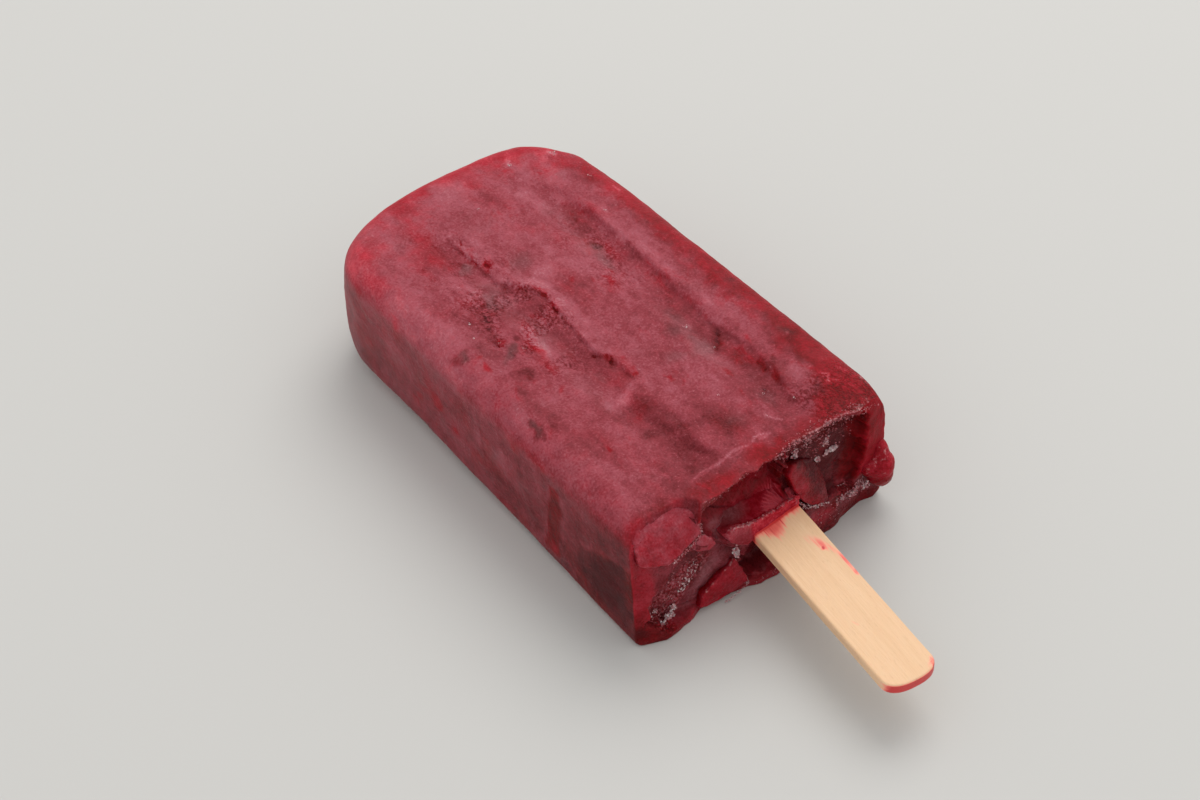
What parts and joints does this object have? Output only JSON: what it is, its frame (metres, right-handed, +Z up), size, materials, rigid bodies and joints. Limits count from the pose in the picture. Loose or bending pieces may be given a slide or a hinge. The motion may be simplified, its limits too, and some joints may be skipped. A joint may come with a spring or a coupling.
{
  "type": "ice pop",
  "caption": "Flat rectangular frozen juice bar with a rounded tip, shallow lengthwise flutes and a broken end around a flat wooden stick.",
  "frame": {"origin": "on the surface the pop lies on, below the middle of its outer box", "axes": "+X along the bar towards the free end of the stick, +Y across the bar's width, +Z up out of the broad face that shows"},
  "size_m": [0.1292, 0.053, 0.0248],
  "materials": {
    "frozen_juice": "dark pink-red frozen fruit juice, frosted and mottled on the moulded faces, darker and glassier on the broken end",
    "birch_wood": "bare pale birch, satin, stained red by juice near the ice and at the tip"
  },
  "bodies": {
    "root": {"frozen_bar": "frozen_juice", "stick": "birch_wood"}
  },
  "joints": []
}
